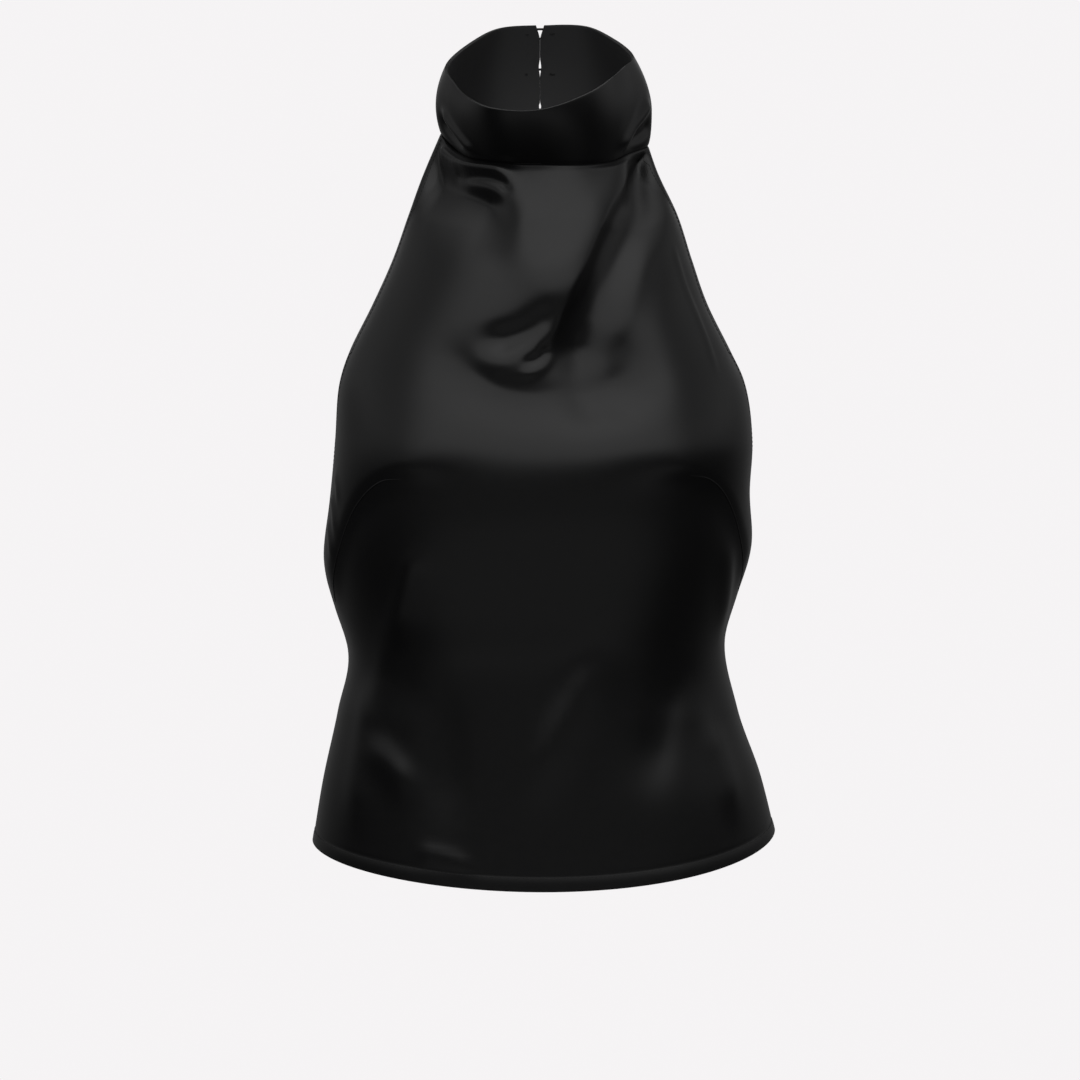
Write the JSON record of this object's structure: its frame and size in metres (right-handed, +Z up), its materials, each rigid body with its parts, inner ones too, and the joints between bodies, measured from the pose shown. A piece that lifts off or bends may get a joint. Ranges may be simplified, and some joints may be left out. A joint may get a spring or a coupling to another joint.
{
  "type": "mock neck halter top",
  "caption": "Backless halter top in black satin, worn shape: standing collar buttoned behind, draped front with curved bust darts, low back and turned hem.",
  "frame": {"origin": "middle of the neck opening, level with the base of the neck", "axes": "+Z up along the wearer, -Y out of the front, +X to the right of somebody who looks at the front"},
  "size_m": [0.317, 0.232, 0.5754],
  "materials": {
    "satin": "satin",
    "covered_button": "satin",
    "loop_cord": "matt"
  },
  "bodies": {
    "root": {"front": "satin", "back": "satin", "collar": "satin", "button_1": "covered_button", "button_2": "covered_button", "button_3": "covered_button", "loop_1": "loop_cord", "loop_2": "loop_cord", "loop_3": "loop_cord"}
  },
  "joints": []
}
